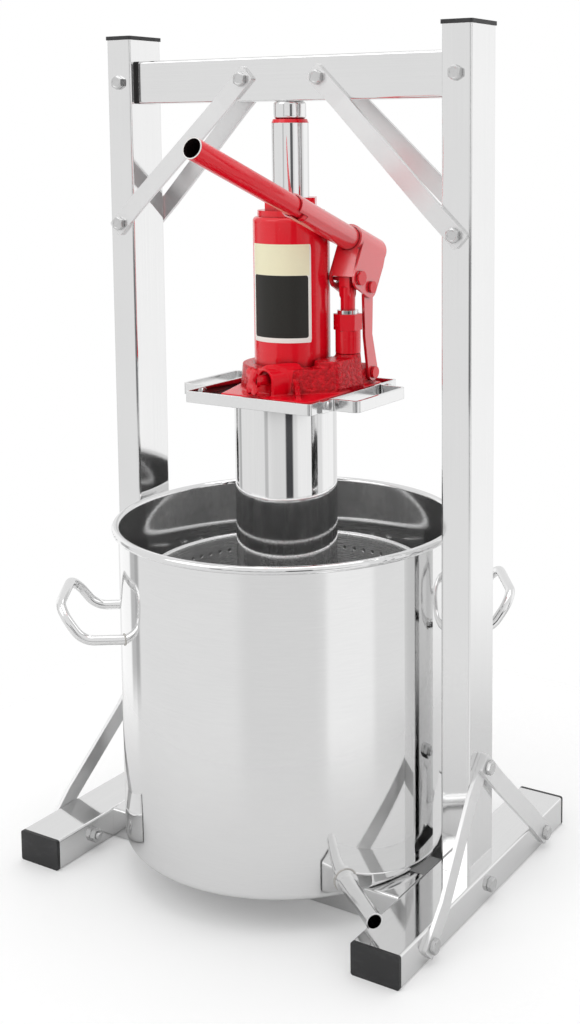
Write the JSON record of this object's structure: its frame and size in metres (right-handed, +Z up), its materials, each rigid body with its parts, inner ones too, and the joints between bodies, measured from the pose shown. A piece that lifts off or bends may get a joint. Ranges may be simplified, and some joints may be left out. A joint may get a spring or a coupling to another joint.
{
  "type": "hydraulic fruit press",
  "caption": "Stainless fruit press: tube frame, barrel with spout, perforated basket, press column and a red hydraulic bottle jack pushing against the top beam.",
  "frame": {"origin": "on the floor, midway between the two uprights and midway along the feet", "axes": "+X right along the top beam, +Y to the back along the feet, +Z up"},
  "size_m": [0.374, 0.3219, 0.675],
  "materials": {
    "stainless": "polished",
    "fastener_steel": "bright",
    "ground_steel": "ground and polished",
    "red_enamel": "gloss enamel",
    "black_plastic": "matte",
    "black_rubber": "matte"
  },
  "bodies": {
    "frame": {"foot_left": "stainless", "foot_right": "stainless", "upright_left": "stainless", "upright_right": "stainless", "cross_rail_front": "stainless", "cross_rail_rear": "stainless", "top_beam": "stainless", "upright_tenons": "stainless", "beam_tenons": "stainless", "beam_gaskets": "black_plastic", "upright_caps": "black_plastic", "foot_caps": "black_plastic", "upper_brace_left_front": "stainless", "upper_brace_left_rear": "stainless", "upper_brace_right_front": "stainless", "upper_brace_right_rear": "stainless", "lower_brace_left_front": "stainless", "lower_brace_left_rear": "stainless", "lower_brace_right_front": "stainless", "lower_brace_right_rear": "stainless", "beam_pin_bolts": "fastener_steel", "beam_brace_bolts": "fastener_steel", "upright_brace_bolts": "fastener_steel", "foot_pin_bolts": "fastener_steel", "foot_brace_bolts": "fastener_steel", "lower_brace_bolts": "fastener_steel", "frame_nuts": "fastener_steel"},
    "barrel": {"barrel": "stainless", "barrel_handle_left": "stainless", "barrel_handle_right": "stainless", "spout": "stainless"},
    "basket": {"basket_wall": "stainless", "basket_floor": "stainless"},
    "press_head": {"press_plate": "stainless", "plate_collar": "stainless", "press_column": "stainless", "jack_tray": "stainless", "strap_handle_left": "stainless", "strap_handle_right": "stainless", "strap_screws": "fastener_steel", "strap_nuts": "fastener_steel", "jack_base": "red_enamel", "jack_tank": "red_enamel", "filler_plug": "black_rubber", "ram_cylinder": "ground_steel", "tank_nut": "red_enamel", "pump_cylinder": "red_enamel", "pump_gland": "ground_steel", "lug_pin": "red_enamel"},
    "ram": {"ram": "ground_steel", "ram_collar": "red_enamel", "extension_screw": "ground_steel"},
    "piston": {"pump_piston": "red_enamel", "piston_pin": "red_enamel"},
    "link": {"link_straps": "red_enamel", "link_pin": "red_enamel"},
    "socket": {"handle_socket": "red_enamel"},
    "lever_rear": {"lever_rear": "red_enamel"},
    "lever_front": {"lever_front": "red_enamel"},
    "valve": {"release_valve": "red_enamel"}
  },
  "joints": [
    {"name": "barrel_turn", "type": "hinge", "parent": "frame", "child": "barrel", "pos_m": [-0.002, -0.008, 0.0252], "axis": [0, 0, 1], "range_deg": [-6, 8]},
    {"name": "basket_turn", "type": "hinge", "parent": "barrel", "child": "basket", "pos_m": [-0.002, -0.008, 0.0266], "axis": [0, 0, 1], "continuous": true},
    {"name": "head_lift", "type": "slide", "parent": "frame", "child": "press_head", "axis": [0, 0, 1], "range_m": [0, 0.058]},
    {"name": "ram_slide", "type": "slide", "parent": "press_head", "child": "ram", "axis": [0, 0, 1], "range_m": [-0.058, 0]},
    {"name": "valve_turn", "type": "hinge", "parent": "press_head", "child": "valve", "pos_m": [0.007, -0.049, 0.4023], "axis": [-0.3907, -0.9205, 0], "range_deg": [0, 270]},
    {"name": "link_swing", "type": "hinge", "parent": "press_head", "child": "link", "pos_m": [0.043, 0.0394, 0.3995], "axis": [1, 0, 0], "range_deg": [-3, 2.5]},
    {"name": "handle_swing", "type": "hinge", "parent": "link", "child": "socket", "pos_m": [0.043, 0.0324, 0.4701], "axis": [1, 0, 0], "range_deg": [-18, 22]},
    {"name": "pump_stroke", "type": "slide", "parent": "press_head", "child": "piston", "axis": [0, 0, 1], "range_m": [-0.0053, 0.0043]},
    {"name": "lever_pull", "type": "slide", "parent": "socket", "child": "lever_rear", "axis": [0, -0.9373, 0.3486], "range_m": [0, 0.036]},
    {"name": "lever_split", "type": "slide", "parent": "lever_rear", "child": "lever_front", "axis": [0, -0.9373, 0.3486], "range_m": [0, 0.024]}
  ],
  "couplings": [
    {"joint": "ram_slide", "follows": "head_lift", "ratio": -1},
    {"joint": "link_swing", "follows": "pump_stroke", "rad_per_m": 7.9311},
    {"joint": "handle_swing", "follows": "pump_stroke", "rad_per_m": -72.292}
  ]
}
